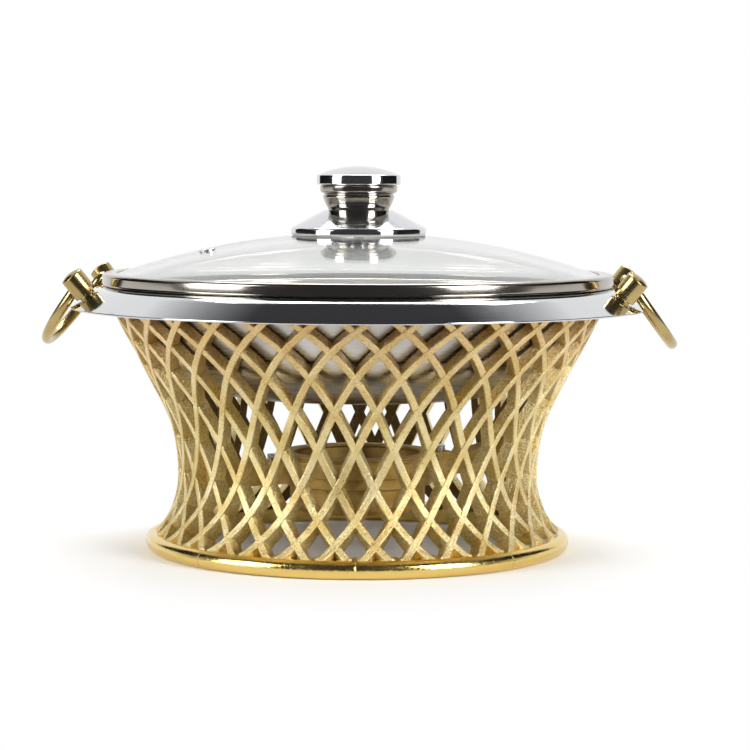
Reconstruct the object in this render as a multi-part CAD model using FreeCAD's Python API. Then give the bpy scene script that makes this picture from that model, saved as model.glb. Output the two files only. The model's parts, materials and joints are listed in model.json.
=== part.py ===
import FreeCAD, Part
import math
import os

from FreeCAD import Rotation, Vector

# A round food warmer: a cast lattice stand with a spirit burner, a flanged pot with two bail
# handles, and a glass lid. Millimetres and degrees. The origin is on the table, on the stand's
# axis; +Z is up and the handles lie along X.

# Pot
pot_sheet = 1.2  # thickness of the pot's sheet
mouth_r = 120.2  # inside radius of the bowl's mouth
bowl_depth = 55.0  # from the flange's underside to the bowl's underside
bowl_round = 58.0  # radius of the bowl's rounded lower side
neck_round = 10.0  # bend between the neck and the leaning side
mouth_round = 1.0  # bend from the neck into the lid seat
seat_width = 14.5  # flat lid seat, from the neck to the flange's bend line
flange_width = 13.6  # from the lid seat's bend line to the flange's edge
flange_slope = 39.0  # how steeply the flange droops
shoulder_round = 12.8  # bend from the lid seat into the drooping flange
edge_round = 0.5  # softened edges of sheet metal

# Stand
stand_h = 136.0  # top of the top ring, where the pot rests
top_ring_h = 8.8
ring_lip = 0.66  # the top ring stands this far past the lattice on both sides
ring_round = 1.5
pot_gap = 1.0  # between the bowl's neck and the top ring
bar_depth = 5.5  # lattice bars, front to back
foot_depth = 7.5  # the bars are this deep at their foot
bar_width = 4.5  # lattice bars, across
bar_count = 32  # bars that lean each way
panel_count = 8  # cast panels that make up the lattice
row_steps = 9  # steps between crossings, from ring to ring
mid_stretch = 1.03  # how much the steps grow towards mid height
low_shift = 0.25  # the tallest step lies this many steps below mid height
low_sink = 3.2  # the lowest crossings lie this far inside the base ring
top_sink = 2.7  # the highest crossings lie this far inside the top ring
waist_draw = 34.9  # the waist is drawn in this far from the rim
waist_z = 39.0  # height of the waist
flare_start = 22.0  # above the waist, where the straight flare would meet it
foot_flare = 12.0  # the lattice's foot stands this far out from the waist
bead_r = 4.5  # half the height of the base ring's rounded outside
bead_out = 5.0  # the base ring stands this far out from the lattice's foot
base_inset = 1.2  # the base ring reaches this far inside the lattice's foot
stand_turn = 2.9  # the stand is set down turned this far from the handles

# Burner and its holder
cup_r = 35.4
cup_wall = 0.9
cup_h = 28.7
cup_lip = 5.0  # flange of the cup that rests on the ring
cup_gap = 0.6  # between the cup and the ring
collar_t = 1.6
collar_width = 7.0
ring_wall = 6.5  # burner ring, across
ring_step = 3.5  # its lower part is this much narrower
ring_top = 48.0
ring_h = 14.0
ring_step_h = 6.0
arm_count = 2
arm_pitch_count = 10.5  # the first arm is this many bar pitches round from a casting seam
arm_width = 12.0
arm_low = 36.0  # underside of the arms
arm_rise = 10.0  # the arms rise this much towards the wall
arm_gap = 0.5
lug_t = 3.0  # lugs of the burner ring, screwed down on the arms
lug_len = 12.5
holder_screw_r = 2.0
holder_head_r = 3.4
holder_head_h = 3.2
holder_screw_len = 8.0

# Handle posts and bails
post_r = 6.0
post_h = 13.0
post_dome = 1.5
post_in = 8.1  # from the flange's edge to the post's foot
post_angle = 17.0  # posts stand this far round from the handles' own axis
pivot_up = 8.5  # the bail's bore, up from the post's foot
rod_r = 2.75
bore_gap = 0.05
bore_spare = 1.0
stub_in = 2.0  # the bail's ends reach this far past the post's centre
leg_gap = 1.35  # between a bail's leg and its post
leg_len = 6.0  # straight part of a bail's legs
rest_gap = 0.4  # bail to flange edge, at rest
post_screw_r = 2.0
post_screw_up = 4.8  # screw length inside the post
post_head_r = 3.5
post_head_h = 2.4
washer_r = 4.5
washer_t = 1.5
hole_gap = 0.1

# Lid
band_t = 0.8  # sheet of the lid's band
band_over = 12.7  # the band reaches this far past the bowl's mouth
band_round = 2.0
skirt_gap = 0.4  # between the band's skirt and the bowl's mouth
skirt_len = 4.0
lip_in = 7.4  # width of the band's upper lip
glass_t = 4.0
glass_in = 4.6  # the glass ends this far inside the band's outside
dome_r = 375.0  # radius of the glass dome
vent_r = 1.6  # bore of the steam vent
vent_wall = 1.0
vent_flange = 4.2
vent_flange_t = 0.8
vent_reach = 81.4  # from the lid's axis
vent_angle = 202.1

# Knob
gasket_in = 0.5  # the gasket ends this far inside the bell's rim
gasket_w = 3.3
gasket_t = 1.0
bell_t = 1.0
bell_r = 35.3
bell_rim_h = 2.6  # upright rim of the bell-shaped base
bell_rim_round = 1.6
bell_waist_r = 22.4
bell_waist_h = 9.6
bell_h = 12.0
bell_top_r = 17.6
knob_foot_r = 16.4
knob_top_r = 20.4
knob_rings = 4  # stepped rings of the knob's body
knob_body_h = 13.1
ring_notch = 0.5  # groove between two rings
cap_r = 21.9
cap_band_h = 4.9
cap_dome_h = 4.8
cap_round = 0.6
knob_screw_r = 3.0
knob_screw_in = 8.0  # screw length inside the knob's body
knob_head_r = 6.0
knob_head_h = 3.0
lid_washer_r = 9.0
lid_washer_t = 1.5

UP = Vector(0, 0, 1)


def outline(corners):
    """A closed face in the RZ half plane. Each corner is (r, z) or (r, z, rounding)."""
    points = [Vector(c[0], 0, c[1]) for c in corners]
    rounds = [c[2] if len(c) > 2 else 0 for c in corners]
    count = len(points)
    starts, arcs, ends = [], [], []
    for i, here in enumerate(points):
        back = (points[i - 1] - here).normalize()
        ahead = (points[(i + 1) % count] - here).normalize()
        half = back.getAngle(ahead) / 2
        reach = rounds[i] / math.tan(half)
        starts.append(here + back * reach)
        ends.append(here + ahead * reach)
        arcs.append(None)
        if rounds[i]:
            middle = (back + ahead).normalize() * (rounds[i] / math.sin(half) - rounds[i])
            arcs[i] = Part.Arc(starts[i], here + middle, ends[i]).toShape()
    edges = []
    for i in range(count):
        if ends[i - 1].distanceToPoint(starts[i]) > 1e-6:
            edges.append(Part.makeLine(ends[i - 1], starts[i]))
        if arcs[i]:
            edges.append(arcs[i])
    return Part.Face(Part.Wire(edges))


def sheet(corners, thick):
    """The corners of bent sheet: the given line, then back along its left side."""
    back = []
    for i, corner in enumerate(corners):
        normals = []
        for a, b in ((i - 1, i), (i, i + 1)):
            if 0 <= a and b < len(corners):
                along = Vector(corners[b][0] - corners[a][0], 0, corners[b][1] - corners[a][1])
                normals.append(Vector(-along.z, 0, along.x).normalize())
        first, last = normals[0], normals[-1]
        shift = (first + last) * (thick / (1 + first.dot(last)))
        moved = (corner[0] + shift.x, corner[1] + shift.z)
        if len(corner) > 2:
            turn = first.x * last.z - first.z * last.x
            side = 0 if len(normals) == 1 else math.copysign(thick, turn)
            moved += (corner[2] - side,)
        back.append(moved)
    return list(corners) + back[::-1]


def turned(corners, angle=360):
    """A solid turned about the Z axis."""
    return outline(corners).revolve(Vector(), UP, angle)


def rod(radius, start, direction, length):
    return Part.makeCylinder(radius, length, start, direction)


def spun(shape, angle):
    """A copy turned about the Z axis."""
    copy = shape.copy()
    copy.rotate(Vector(), UP, angle)
    return copy


def upright(shape, foot, axis):
    """A copy of a shape that stands on the origin, set on foot along axis."""
    copy = shape.copy()
    copy.Placement = FreeCAD.Placement(foot, Rotation(UP, axis))
    return copy


def dome_drop(radius, reach):
    """How far a ball of that radius falls away, reach out from its top."""
    return radius - math.sqrt(radius**2 - reach**2)


# Places worked out from the sizes
bowl_r = mouth_r + pot_sheet
seat_z = stand_h + pot_sheet
rim_z = stand_h - top_ring_h
top_ring_in = bowl_r + pot_gap
rim_r = top_ring_in + ring_lip + bar_depth
waist_r = rim_r - waist_draw
foot_r = waist_r + foot_flare
base_h = 2 * bead_r
flare_lean = math.atan(waist_draw / (rim_z - waist_z - flare_start))
flare_bend = flare_start / math.tan(flare_lean / 2)
foot_h = waist_z - base_h
foot_in = foot_r - foot_depth
slope = math.radians(flange_slope)
shoulder_r = bowl_r + seat_width
flange_r = shoulder_r + flange_width
band_r = mouth_r + band_over


def arc_r(out, rise):
    """Radius of an arc that leaves the upright and moves out by that much over that rise."""
    return (out**2 + rise**2) / (2 * out)


def wall_line(waist, foot):
    """Corners of the lattice wall's outline, up from its foot."""
    corner_z = waist_z - arc_r(foot_h, foot - waist)
    return [
        (foot, base_h),
        (waist, corner_z, arc_r(foot - waist, foot_h)),
        (waist, waist_z + flare_start, flare_bend),
        (waist + waist_draw, rim_z),
    ]


wall_out = wall_line(waist_r, foot_r)
wall_in = wall_line(waist_r - bar_depth, foot_in)


def wall_r(z):
    """Outside radius of the lattice wall at a height."""
    z = min(max(z, base_h), rim_z)
    if z < waist_z:
        return waist_r + dome_drop(arc_r(foot_flare, foot_h), waist_z - z)
    if z < waist_z + flare_bend * math.sin(flare_lean):
        return waist_r + dome_drop(flare_bend, z - waist_z)
    return rim_r - (rim_z - z) * math.tan(flare_lean)


# Lattice: a wall of revolution with kite-shaped windows
step_share = [
    1 + mid_stretch * math.sin(math.pi * (i + 0.5 + low_shift) / row_steps) ** 3
    for i in range(row_steps)
]
row_low = base_h - low_sink
row_span = rim_z + top_sink - row_low
row_z = [row_low + row_span * sum(step_share[:i]) / sum(step_share) for i in range(row_steps + 1)]
pitch = 360 / bar_count
panel_angle = 360 / panel_count


def window(row, angle):
    """A tool for one window of the lattice: the kite between four bars, run out along a radius."""
    z = row_z[row]
    wide = wall_r(z) * math.radians(pitch) / 2
    up = row_z[row + 1] - z if row < row_steps else z - row_z[row - 1]
    down = z - row_z[row - 1] if row > 0 else up
    bar_up = bar_width / 2 * math.hypot(1 / wide, 1 / up)
    bar_down = bar_width / 2 * math.hypot(1 / wide, 1 / down)
    side_z = (bar_down - bar_up) / (1 / up + 1 / down)
    side = wide * (1 - bar_up - side_z / up)
    depth = waist_r / 2
    kite = [
        Vector(depth, -side, z + side_z),
        Vector(depth, 0, z - down * (1 - bar_down)),
        Vector(depth, side, z + side_z),
        Vector(depth, 0, z + up * (1 - bar_up)),
    ]
    tool = Part.Face(Part.makePolygon(kite + kite[:1])).extrude(Vector(rim_r, 0, 0))
    return spun(tool, angle)


def make_panel():
    """One cast panel of the lattice, from the X axis round to the next casting seam."""
    wall = turned(wall_out + wall_in[::-1], panel_angle)
    tools = []
    per_panel = bar_count // panel_count
    for row in range(row_steps + 1):
        offset = 0.5 if row % 2 == 0 else 0
        count = per_panel if row % 2 == 0 else per_panel + 1
        tools += [window(row, (k + offset) * pitch) for k in range(count)]
    return wall.cut(tools).removeSplitter()


parts = {}
parts["base_ring"] = turned(
    [
        (foot_in - base_inset, 0, edge_round),
        (foot_r + bead_out, 0, bead_r * 0.98),
        (foot_r + bead_out, base_h, bead_r * 0.98),
        (foot_in - base_inset, base_h, edge_round),
    ]
)
parts["top_ring"] = turned(
    [
        (top_ring_in, rim_z, edge_round),
        (rim_r + ring_lip, rim_z, ring_round),
        (rim_r + ring_lip, stand_h, ring_round),
        (top_ring_in, stand_h, edge_round),
    ]
)
panel = make_panel()
panel_start = 270 + stand_turn
for i in range(panel_count):
    parts[f"lattice_panel_{i + 1}"] = spun(panel, panel_start + i * panel_angle)

# Burner ring on two arms in line; each arm meets the wall at a crossing of the bars
burner_ring_in = cup_r + cup_gap
burner_ring_r = burner_ring_in + ring_wall
lug_end = burner_ring_r + lug_len
arm_top = ring_top - lug_t
arm_angles = [panel_start + pitch * arm_pitch_count + 360 / arm_count * i for i in range(arm_count)]
holder_screw_at = burner_ring_r + lug_len / 2

arm_side = [
    Vector(burner_ring_r + arm_gap, -arm_width / 2, arm_low),
    Vector(waist_r, -arm_width / 2, arm_low),
    Vector(waist_r, -arm_width / 2, arm_top + arm_rise),
    Vector(lug_end + arm_gap, -arm_width / 2, arm_top),
    Vector(burner_ring_r + arm_gap, -arm_width / 2, arm_top),
]
arm = Part.Face(Part.makePolygon(arm_side + arm_side[:1])).extrude(Vector(0, arm_width, 0))
outside = turned(wall_in + [(2 * rim_r, rim_z), (2 * rim_r, base_h)])
screw_foot = Vector(holder_screw_at, 0, ring_top - holder_screw_len)
screw_hole = rod(holder_screw_r, screw_foot, UP, holder_screw_len)
arm = arm.cut([outside, screw_hole])
burner_ring = turned(
    [
        (burner_ring_in, ring_top - ring_h),
        (burner_ring_r - ring_step, ring_top - ring_h, edge_round),
        (burner_ring_r - ring_step, ring_top - ring_h + ring_step_h),
        (burner_ring_r, ring_top - ring_h + ring_step_h, edge_round),
        (burner_ring_r, ring_top, edge_round),
        (burner_ring_in, ring_top),
    ]
)
lug = Part.makeBox(
    lug_end - burner_ring_in - ring_wall / 2,
    arm_width,
    lug_t,
    Vector(burner_ring_in + ring_wall / 2, -arm_width / 2, arm_top),
).cut(screw_hole)
holder_head = rod(holder_head_r, Vector(holder_screw_at, 0, ring_top), UP, holder_head_h)
holder_screw = screw_hole.fuse(holder_head)
burner_ring = burner_ring.fuse([spun(lug, a) for a in arm_angles]).removeSplitter()
parts["burner_ring"] = burner_ring
for i, angle in enumerate(arm_angles):
    parts[f"burner_arm_{i + 1}"] = spun(arm, angle)
parts["holder_screws"] = Part.Compound([spun(holder_screw, a) for a in arm_angles])

cup_top = ring_top + cup_wall
parts["burner_cup"] = turned(
    sheet(
        [
            (0, cup_top - cup_h),
            (cup_r, cup_top - cup_h, 3.0),
            (cup_r, ring_top, 0.01),
            (cup_r + cup_lip, ring_top),
        ],
        cup_wall,
    )
)
parts["burner_collar"] = turned(
    [
        (cup_r + cup_lip - collar_width, cup_top, edge_round),
        (cup_r + cup_lip, cup_top, edge_round),
        (cup_r + cup_lip, cup_top + collar_t, edge_round),
        (cup_r + cup_lip - collar_width, cup_top + collar_t, edge_round),
    ]
)

# Pot, from the middle of its floor to the flange's edge
floor_z = stand_h - bowl_depth
floor_corner = bowl_r - (rim_z - floor_z) * math.tan(flare_lean)
edge_r = flange_r - pot_sheet * math.sin(slope)
edge_z = stand_h - (edge_r - shoulder_r) * math.tan(slope)
pot = turned(
    sheet(
        [
            (0, floor_z),
            (floor_corner, floor_z, bowl_round),
            (bowl_r, rim_z, neck_round),
            (bowl_r, stand_h, mouth_round),
            (shoulder_r, stand_h, shoulder_round),
            (edge_r, edge_z, edge_round),
        ],
        pot_sheet,
    )
)

# Handle posts stand square on the flange
post_at = flange_r - post_in
post_foot_z = stand_h - (post_at - shoulder_r) * math.tan(slope) + pot_sheet / math.cos(slope)
pivot_r = post_at + pivot_up * math.sin(slope)
pivot_x = pivot_r * math.cos(math.radians(post_angle))
pivot_y = pivot_r * math.sin(math.radians(post_angle))
pivot_z = post_foot_z + pivot_up * math.cos(slope)
post_dome_corner = (post_r**2 + post_dome**2) / (2 * post_r)
post_dome_r = (post_r**2 + post_dome**2) / (2 * post_dome)
post = turned(
    [
        (0, 0),
        (post_r, 0, edge_round),
        (post_r, post_h),
        (post_dome_corner, post_h + post_dome, post_dome_r),
        (0, post_h + post_dome),
    ]
)
post = post.cut(rod(post_screw_r, Vector(), UP, post_screw_up))
washer = rod(washer_r, Vector(0, 0, -pot_sheet - washer_t), UP, washer_t + pot_sheet / 2)
washer = washer.cut(rod(post_screw_r + hole_gap, Vector(0, 0, -pot_sheet - washer_t), UP, 2 * washer_t))
head_z = -pot_sheet - washer_t
post_screw = rod(post_screw_r, Vector(0, 0, head_z), UP, post_screw_up - head_z)
post_screw = post_screw.fuse(rod(post_head_r, Vector(0, 0, head_z - post_head_h), UP, post_head_h))
flange_hole = rod(post_screw_r + hole_gap, Vector(0, 0, -3 * pot_sheet), UP, 6 * pot_sheet)

post_places = {
    "right_front": -post_angle,
    "right_rear": post_angle,
    "left_rear": 180 - post_angle,
    "left_front": 180 + post_angle,
}
bail_bend = rod_r + leg_gap - bore_gap
bail_half = pivot_y - post_r - leg_gap - rod_r
stub_end = pivot_y + stub_in
screws, washers, holes = [], [], []
for name, angle in post_places.items():
    out = Rotation(UP, angle).multVec(Vector(1, 0, 0))
    axis = out * math.sin(slope) + UP * math.cos(slope)
    foot = out * post_at + UP * post_foot_z
    pivot = foot + axis * pivot_up
    inward = Vector(0, -math.copysign(1, pivot.y), 0)
    bore = rod(rod_r + bore_gap, pivot - inward * (stub_in + bore_spare), inward, 2 * post_r + stub_in)
    parts[f"post_{name}"] = upright(post, foot, axis).cut(bore)
    screws.append(upright(post_screw, foot, axis))
    washers.append(upright(washer, foot, axis))
    holes.append(upright(flange_hole, foot, axis))
pot = pot.cut(holes)
parts["pot_bowl"] = pot
parts["post_screws"] = Part.Compound(screws)
parts["post_washers"] = Part.Compound([w.cut(pot) for w in washers])

# Bails rest on the flange's edge
edge_reach = math.hypot(edge_r - pivot_x, pivot_z - edge_z)
cross_y = math.sqrt(bail_half**2 - max(0, edge_reach - leg_len) ** 2)
edge_out = math.sqrt(edge_r**2 - cross_y**2) - pivot_x
edge_down = pivot_z - edge_z - pot_sheet / 2
rest_clear = rod_r + pot_sheet / 2 + rest_gap
bail_rest = math.atan2(edge_down, edge_out) - math.asin(rest_clear / math.hypot(edge_out, edge_down))


def make_bail(side):
    """A bent rod: two end stubs, two legs and a half ring between them."""
    pivot = Vector(side * pivot_x, 0, pivot_z)
    out = Vector(side * math.cos(bail_rest), 0, -math.sin(bail_rest))

    def at(along, across):
        return pivot + out * along + Vector(0, across, 0)

    diagonal = math.sqrt(0.5)
    path = []
    for hand in (1, -1):
        stub_foot = at(0, hand * (bail_half + bail_bend))
        turn_mid = at(bail_bend * (1 - diagonal), hand * (bail_half + bail_bend * (1 - diagonal)))
        leg_top = at(bail_bend, hand * bail_half)
        half = [
            Part.makeLine(at(0, hand * stub_end), stub_foot),
            Part.Arc(stub_foot, turn_mid, leg_top).toShape(),
            Part.makeLine(leg_top, at(leg_len, hand * bail_half)),
        ]
        path += half if hand == 1 else half[::-1]
        if hand == 1:
            ring = Part.Arc(at(leg_len, bail_half), at(leg_len + bail_half, 0), at(leg_len, -bail_half))
            path.append(ring.toShape())
    section = Part.Wire(Part.makeCircle(rod_r, at(0, stub_end), Vector(0, 1, 0)))
    return Part.Wire(path).makePipeShell([section], True, True)


parts["right_bail"] = make_bail(1)
parts["left_bail"] = make_bail(-1)

# Lid: the glass sits in the channel of its band
glass_r = band_r - glass_in
glass_low = seat_z + band_t + dome_drop(dome_r - glass_t, glass_r)
glass_top = glass_low + glass_t
lip_r = band_r - lip_in
band_top = glass_top - dome_drop(dome_r, lip_r) + band_t
skirt_r = mouth_r - skirt_gap


def ball_piece(radius, top):
    """A ball whose highest point is at that height."""
    return Part.makeSphere(radius, Vector(0, 0, top - radius))


glass = rod(glass_r, Vector(0, 0, seat_z), UP, glass_top)
glass = glass.common(ball_piece(dome_r, glass_top)).cut(ball_piece(dome_r - glass_t, glass_low))
parts["lid_band"] = turned(
    sheet(
        [
            (skirt_r, seat_z - skirt_len),
            (skirt_r, seat_z, band_t),
            (band_r, seat_z, band_round),
            (band_r, band_top, band_round),
            (lip_r, band_top),
        ],
        band_t,
    )
)
vent_axis = Vector(
    vent_reach * math.cos(math.radians(vent_angle)),
    vent_reach * math.sin(math.radians(vent_angle)),
    math.sqrt(dome_r**2 - vent_reach**2),
).normalize()
dome_centre = Vector(0, 0, glass_top - dome_r)
vent_low = dome_r - glass_t - vent_flange_t - hole_gap / 2
vent_tube = vent_r + vent_wall
vent = turned(
    [
        (vent_r, vent_low, 0.2),
        (vent_flange, vent_low, 0.2),
        (vent_flange, vent_low + vent_flange_t),
        (vent_tube, vent_low + vent_flange_t),
        (vent_tube, dome_r),
        (vent_flange, dome_r),
        (vent_flange, dome_r + vent_flange_t, 0.3),
        (vent_r, dome_r + vent_flange_t, 0.3),
    ]
)
parts["vent_grommet"] = upright(vent, dome_centre, vent_axis)
vent_hole = rod(vent_tube + hole_gap, Vector(0, 0, vent_low), UP, 2 * glass_t)
vent_hole = upright(vent_hole, dome_centre, vent_axis)
knob_hole = rod(knob_screw_r + hole_gap, Vector(0, 0, seat_z), UP, glass_top)
parts["lid_glass"] = glass.cut([vent_hole, knob_hole])

# Knob, stacked up from the glass
gasket_r = bell_r - gasket_in
gasket_low = glass_top - dome_drop(dome_r, gasket_r - gasket_w)
bell_low = gasket_low + gasket_t
bell_top = bell_low + bell_h
cap_low = bell_top + knob_body_h
screw_low = glass_low - dome_drop(dome_r - glass_t, lid_washer_r) - lid_washer_t
parts["knob_gasket"] = turned(
    [
        (gasket_r - gasket_w, gasket_low),
        (gasket_r, gasket_low),
        (gasket_r, bell_low),
        (gasket_r - gasket_w, bell_low),
    ]
)
bell = turned(
    sheet(
        [
            (bell_r, bell_low),
            (bell_r, bell_low + bell_rim_h, bell_rim_round),
            (bell_waist_r, bell_low + bell_waist_h, bell_waist_h),
            (bell_top_r, bell_top, bell_rim_round),
            (0, bell_top),
        ],
        bell_t,
    )
)
parts["knob_base"] = bell.cut(rod(knob_screw_r + hole_gap, Vector(0, 0, bell_low), UP, bell_h))
body_side = []
ring_rise = knob_body_h / knob_rings
for i in range(knob_rings):
    low_r = knob_foot_r + (knob_top_r - knob_foot_r) * i / knob_rings
    high_r = knob_foot_r + (knob_top_r - knob_foot_r) * (i + 0.7) / knob_rings
    low = bell_top + i * ring_rise
    body_side += [(low_r, low), (high_r, low + ring_rise - ring_notch, ring_notch)]
    body_side += [(low_r, low + ring_rise - ring_notch)]
knob_body = turned([(0, bell_top)] + body_side + [(body_side[-1][0], cap_low), (0, cap_low)])
parts["knob_body"] = knob_body.cut(rod(knob_screw_r, Vector(0, 0, bell_top), UP, knob_screw_in))
cap_top = cap_low + cap_band_h + cap_dome_h
cap_corner = (cap_r**2 + cap_dome_h**2) / (2 * cap_r)
cap_dome_r = (cap_r**2 + cap_dome_h**2) / (2 * cap_dome_h)
parts["knob_cap"] = turned(
    [
        (0, cap_low),
        (cap_r, cap_low, cap_round),
        (cap_r, cap_low + cap_band_h, cap_round),
        (cap_corner, cap_top, 0.95 * cap_dome_r),
        (0, cap_top),
    ]
)
washer_hole = rod(knob_screw_r + hole_gap, Vector(0, 0, screw_low), UP, lid_washer_t)
parts["lid_washer"] = rod(lid_washer_r, Vector(0, 0, screw_low), UP, lid_washer_t).cut(washer_hole)
knob_screw = rod(knob_screw_r, Vector(0, 0, screw_low), UP, bell_top + knob_screw_in - screw_low)
knob_head = rod(knob_head_r, Vector(0, 0, screw_low - knob_head_h), UP, knob_head_h)
parts["knob_screw"] = knob_screw.fuse(knob_head)

os.makedirs("parts", exist_ok=True)
for name, shape in parts.items():
    shape.exportStep(f"parts/{name}.step")
    print(f"{name}: {len(shape.Solids)} solid, {shape.Volume / 1000:.2f} cm3, valid {shape.isValid()}")
print(f"bail pivots at x {pivot_x:.3f}, z {pivot_z:.3f}; rest {math.degrees(bail_rest):.2f} degrees down")
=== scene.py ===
# %% [markdown]
# # A round food warmer on a lattice stand
#
# A gold cast lattice carries a flanged steel pot, and a small spirit burner sits in the lattice under it.
# The pot has two brass bail handles and a glass lid with a steel knob. The CAD model gives every piece its
# place and its joints. Here the pieces get fine meshes, real finishes, soft light and a camera.

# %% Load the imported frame
import json
import math

import bmesh
import bpy
from mathutils import Matrix, Vector


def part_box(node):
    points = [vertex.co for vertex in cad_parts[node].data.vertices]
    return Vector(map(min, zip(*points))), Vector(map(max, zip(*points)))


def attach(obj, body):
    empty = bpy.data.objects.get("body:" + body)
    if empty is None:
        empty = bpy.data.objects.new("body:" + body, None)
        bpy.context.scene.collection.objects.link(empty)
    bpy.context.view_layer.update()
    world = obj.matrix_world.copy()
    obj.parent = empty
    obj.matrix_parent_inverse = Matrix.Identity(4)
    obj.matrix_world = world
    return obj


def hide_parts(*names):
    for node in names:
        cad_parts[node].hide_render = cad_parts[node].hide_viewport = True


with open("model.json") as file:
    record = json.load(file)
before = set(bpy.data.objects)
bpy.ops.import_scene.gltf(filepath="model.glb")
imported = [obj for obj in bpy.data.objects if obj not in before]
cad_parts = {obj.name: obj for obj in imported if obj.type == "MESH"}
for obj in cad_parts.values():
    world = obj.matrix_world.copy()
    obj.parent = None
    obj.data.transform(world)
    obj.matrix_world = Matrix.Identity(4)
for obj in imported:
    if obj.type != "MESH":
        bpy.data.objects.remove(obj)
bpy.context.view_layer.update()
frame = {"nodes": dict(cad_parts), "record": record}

MM = 0.001

# %% [markdown]
# ## Two tools for finishes
#
# Colours are written as the sRGB hex values that one would pick from a picture, and turned into the linear
# values that shaders work with. One function adds a node, sets it up and links it, so that each finish below
# reads as a short list of nodes.

# %% Colour and node tools


def linear(code):
    """An sRGB hex colour as linear red, green, blue and alpha."""
    parts = [int(code[i : i + 2], 16) / 255 for i in (1, 3, 5)]
    return [p / 12.92 if p <= 0.04045 else ((p + 0.055) / 1.055) ** 2.4 for p in parts] + [1.0]


def add(tree, kind, inputs=(), **settings):
    """Adds a node. Settings are its properties; inputs are values, or output sockets to link."""
    node = tree.nodes.new(kind)
    for name, value in settings.items():
        setattr(node, name, value)
    for socket, value in dict(inputs).items():
        if isinstance(value, bpy.types.NodeSocket):
            tree.links.new(value, node.inputs[socket])
        else:
            node.inputs[socket].default_value = value
    return node


def start_finish(name, **sockets):
    """A new material, its node tree and its shader, with the shader's own sockets set."""
    material = bpy.data.materials.new(name)
    material.use_nodes = True
    tree = material.node_tree
    shader = tree.nodes["Principled BSDF"]
    for socket, value in sockets.items():
        shader.inputs[socket.replace("_", " ")].default_value = value
    return material, tree, shader


def per_mm(size):
    """The texture scale at which a pattern repeats about every size millimetres."""
    return 1 / (size * MM)


print("gold in linear light:", [round(v, 3) for v in linear("#D8B56A")])

# %% [markdown]
# ## Sand-cast zinc under gold plate
#
# The stand is cast, and the plating follows the grain of the mould. The eye sees a pale gold that is satin
# from afar and sparkles with fine grit up close. The grit is noise about a millimetre across in bump and
# colour, weaker on the ridges that were wiped smooth and full at the foot; in the colour it is partly grain
# and partly painted glints. Faces inside the stand get painted shade: the more a face turns towards the axis,
# the more its gold is mixed towards a dark brown.

# %% Cast gold
cast_gold, tree, shader = start_finish("gold_plated_sand_cast_zinc", Metallic=1.0)
spot = add(tree, "ShaderNodeTexCoord").outputs["Object"]
grit = add(
    tree, "ShaderNodeTexNoise", {"Vector": spot, "Scale": per_mm(0.9), "Detail": 2.0, "Roughness": 0.6}
)
cloud = add(tree, "ShaderNodeTexNoise", {"Vector": spot, "Scale": per_mm(14), "Detail": 2.0})
tone = add(tree, "ShaderNodeValToRGB", {"Fac": cloud.outputs["Fac"]})
tone.color_ramp.elements[0].position = 0.35
tone.color_ramp.elements[0].color = linear("#D8BF7E")
tone.color_ramp.elements[1].position = 0.68
tone.color_ramp.elements[1].color = linear("#F0E0AC")
height = add(tree, "ShaderNodeSeparateXYZ", {0: spot})
near_top = add(
    tree,
    "ShaderNodeMapRange",
    {"Value": height.outputs[2], "From Min": 80 * MM, "From Max": 130 * MM, "To Max": 0.6},
)
warm = add(
    tree,
    "ShaderNodeMix",
    {"Factor": near_top.outputs[0], "A": tone.outputs["Color"], "B": linear("#DDB27A")},
    data_type="RGBA",
)
flat_spot = add(tree, "ShaderNodeVectorMath", {0: spot, 1: (1.0, 1.0, 0.0)}, operation="MULTIPLY")
outward = add(tree, "ShaderNodeVectorMath", {0: flat_spot.outputs[0]}, operation="NORMALIZE")
normal = add(tree, "ShaderNodeNewGeometry").outputs["Normal"]
facing = add(tree, "ShaderNodeVectorMath", {0: outward.outputs[0], 1: normal}, operation="DOT_PRODUCT")
# painted shade: faces turned towards the axis are mixed towards dark brown, for the shade inside the stand
inside = add(
    tree,
    "ShaderNodeMapRange",
    {"Value": facing.outputs["Value"], "From Min": -0.2, "From Max": -0.7, "To Min": 0.0, "To Max": 0.85},
)
gold_with_painted_shade = add(
    tree,
    "ShaderNodeMix",
    {"Factor": inside.outputs[0], "A": warm.outputs["Result"], "B": linear("#5A3D18")},
    data_type="RGBA",
)
as_cast = add(
    tree,
    "ShaderNodeMapRange",
    {"Value": facing.outputs["Value"], "From Min": 0.97, "From Max": 0.8, "To Min": 0.25, "To Max": 1.0},
)
at_foot = add(
    tree, "ShaderNodeMapRange", {"Value": height.outputs[2], "From Min": 70 * MM, "From Max": 20 * MM}
)
unwiped = add(tree, "ShaderNodeMath", {0: as_cast.outputs[0], 1: at_foot.outputs[0]}, operation="MAXIMUM")
# the grit scales the colour up and down: partly grain, partly painted glints
glint = add(
    tree,
    "ShaderNodeMapRange",
    {"Value": grit.outputs["Fac"], "From Min": 0.36, "From Max": 0.62, "To Min": 0.76, "To Max": 1.14},
)
grit_and_glint_colour = add(
    tree, "ShaderNodeVectorMath", {0: gold_with_painted_shade.outputs["Result"], 1: glint.outputs[0]}, operation="MULTIPLY"
)
speck = add(
    tree,
    "ShaderNodeMix",
    {"Factor": unwiped.outputs[0], "A": gold_with_painted_shade.outputs["Result"], "B": grit_and_glint_colour.outputs[0]},
    data_type="RGBA",
)
tree.links.new(speck.outputs["Result"], shader.inputs["Base Color"])
rough = add(
    tree,
    "ShaderNodeMapRange",
    {"Value": grit.outputs["Fac"], "From Min": 0.3, "From Max": 0.7, "To Min": 0.26, "To Max": 0.46},
)
tree.links.new(rough.outputs[0], shader.inputs["Roughness"])
grain = add(tree, "ShaderNodeMath", {0: grit.outputs["Fac"], 1: unwiped.outputs[0]}, operation="MULTIPLY")
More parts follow.
